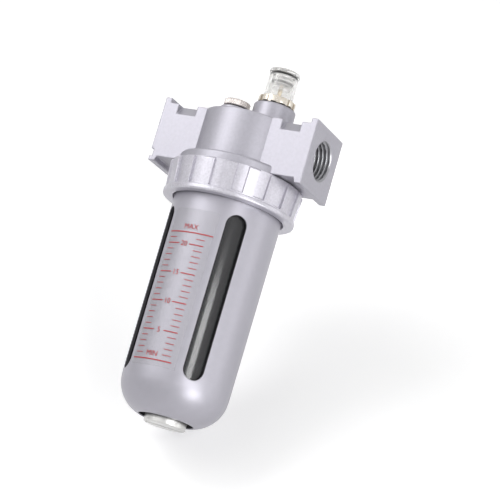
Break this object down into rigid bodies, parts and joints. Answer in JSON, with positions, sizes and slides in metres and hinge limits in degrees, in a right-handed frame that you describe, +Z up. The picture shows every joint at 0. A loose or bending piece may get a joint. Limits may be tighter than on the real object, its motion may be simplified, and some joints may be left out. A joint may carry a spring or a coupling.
{
  "type": "air line lubricator",
  "caption": "Inline oil fog lubricator for compressed air: cast port block, sight dome with drip knob, lock ring, clear bowl in a slotted metal guard.",
  "frame": {"origin": "centre of the inlet port's mouth", "axes": "+X along the air flow from inlet to outlet, -Y towards the level scale, +Z up along the bowl's axis towards the sight dome"},
  "size_m": [0.053, 0.0424, 0.1166],
  "materials": {
    "cast_body": "satin silver paint over a die casting",
    "ring_paint": "satin silver paint",
    "guard_paint": "smooth satin silver paint",
    "acetal": "moulded, satin",
    "soft_rubber": "matte",
    "black_rubber": "matte",
    "ball_steel": "polished",
    "brass": "turned",
    "sintered_bronze": "sintered, grainy",
    "clear_tube": "clear plastic tube",
    "dome_nickel": "nickel plated, satin",
    "plug_nickel": "nickel plated, knurled",
    "drain_nickel": "bright nickel plate",
    "dome_clear": "clear moulded plastic",
    "knob_clear": "clear moulded plastic",
    "bowl_clear": "clear polycarbonate",
    "label_film": "clear film with a red printed scale"
  },
  "bodies": {
    "body": {"main_body": "cast_body", "damper_holder": "acetal", "flow_damper": "soft_rubber", "check_ball_retainer": "brass", "siphon_fitting": "brass", "siphon_tube": "clear_tube", "siphon_filter": "sintered_bronze", "dome_base": "dome_nickel", "dome_base_seal": "black_rubber", "sight_dome": "dome_clear"},
    "check_ball": {"check_ball": "ball_steel"},
    "bowl_unit": {"bowl_guard": "guard_paint", "bowl": "bowl_clear", "bowl_seal": "black_rubber", "level_label": "label_film", "drain_body": "drain_nickel", "drain_gasket": "black_rubber", "drain_nut": "drain_nickel"},
    "lock_ring": {"lock_ring": "ring_paint"},
    "drain_seal": {"drain_plug_seal": "black_rubber"},
    "drain_plug": {"drain_plug": "drain_nickel"},
    "knob_seals": {"knob_seal": "black_rubber", "stem_seal": "black_rubber"},
    "drip_knob": {"drip_knob": "knob_clear", "drip_needle": "brass"},
    "plug_seal": {"fill_plug_seal": "black_rubber"},
    "fill_plug": {"fill_plug": "plug_nickel"}
  },
  "joints": [
    {"name": "bowl_lower", "type": "slide", "parent": "body", "child": "bowl_unit", "axis": [0, 0, -1], "range_m": [0, 0.005]},
    {"name": "lock_ring_turn", "type": "hinge", "parent": "bowl_unit", "child": "lock_ring", "pos_m": [0.0265, 0, 0], "axis": [0, 0, -1], "range_deg": [0, 901]},
    {"name": "drain_plug_lower", "type": "slide", "parent": "bowl_unit", "child": "drain_seal", "axis": [0, 0, -1], "range_m": [0, 0.003]},
    {"name": "drain_plug_turn", "type": "hinge", "parent": "drain_seal", "child": "drain_plug", "pos_m": [0.0265, 0, 0], "axis": [0, 0, -1], "range_deg": [0, 1081]},
    {"name": "drip_knob_rise", "type": "slide", "parent": "body", "child": "knob_seals", "axis": [0, 0, 1], "range_m": [0, 0.0015]},
    {"name": "drip_knob_turn", "type": "hinge", "parent": "knob_seals", "child": "drip_knob", "pos_m": [0.0323, 0, 0], "axis": [0, 0, 1], "range_deg": [0, 1081]},
    {"name": "fill_plug_rise", "type": "slide", "parent": "body", "child": "plug_seal", "axis": [0, 0, 1], "range_m": [0, 0.0045]},
    {"name": "fill_plug_turn", "type": "hinge", "parent": "plug_seal", "child": "fill_plug", "pos_m": [0.0191, 0, 0], "axis": [0, 0, 1], "range_deg": [0, 1621]},
    {"name": "check_ball_lift", "type": "slide", "parent": "body", "child": "check_ball", "axis": [0, 0, 1], "range_m": [0, 0.001]}
  ],
  "couplings": [
    {"joint": "lock_ring_turn", "follows": "bowl_lower", "rad_per_m": 3141.6},
    {"joint": "drain_plug_turn", "follows": "drain_plug_lower", "rad_per_m": 6283.2},
    {"joint": "drip_knob_turn", "follows": "drip_knob_rise", "rad_per_m": 12566},
    {"joint": "fill_plug_turn", "follows": "fill_plug_rise", "rad_per_m": 6283.2}
  ]
}
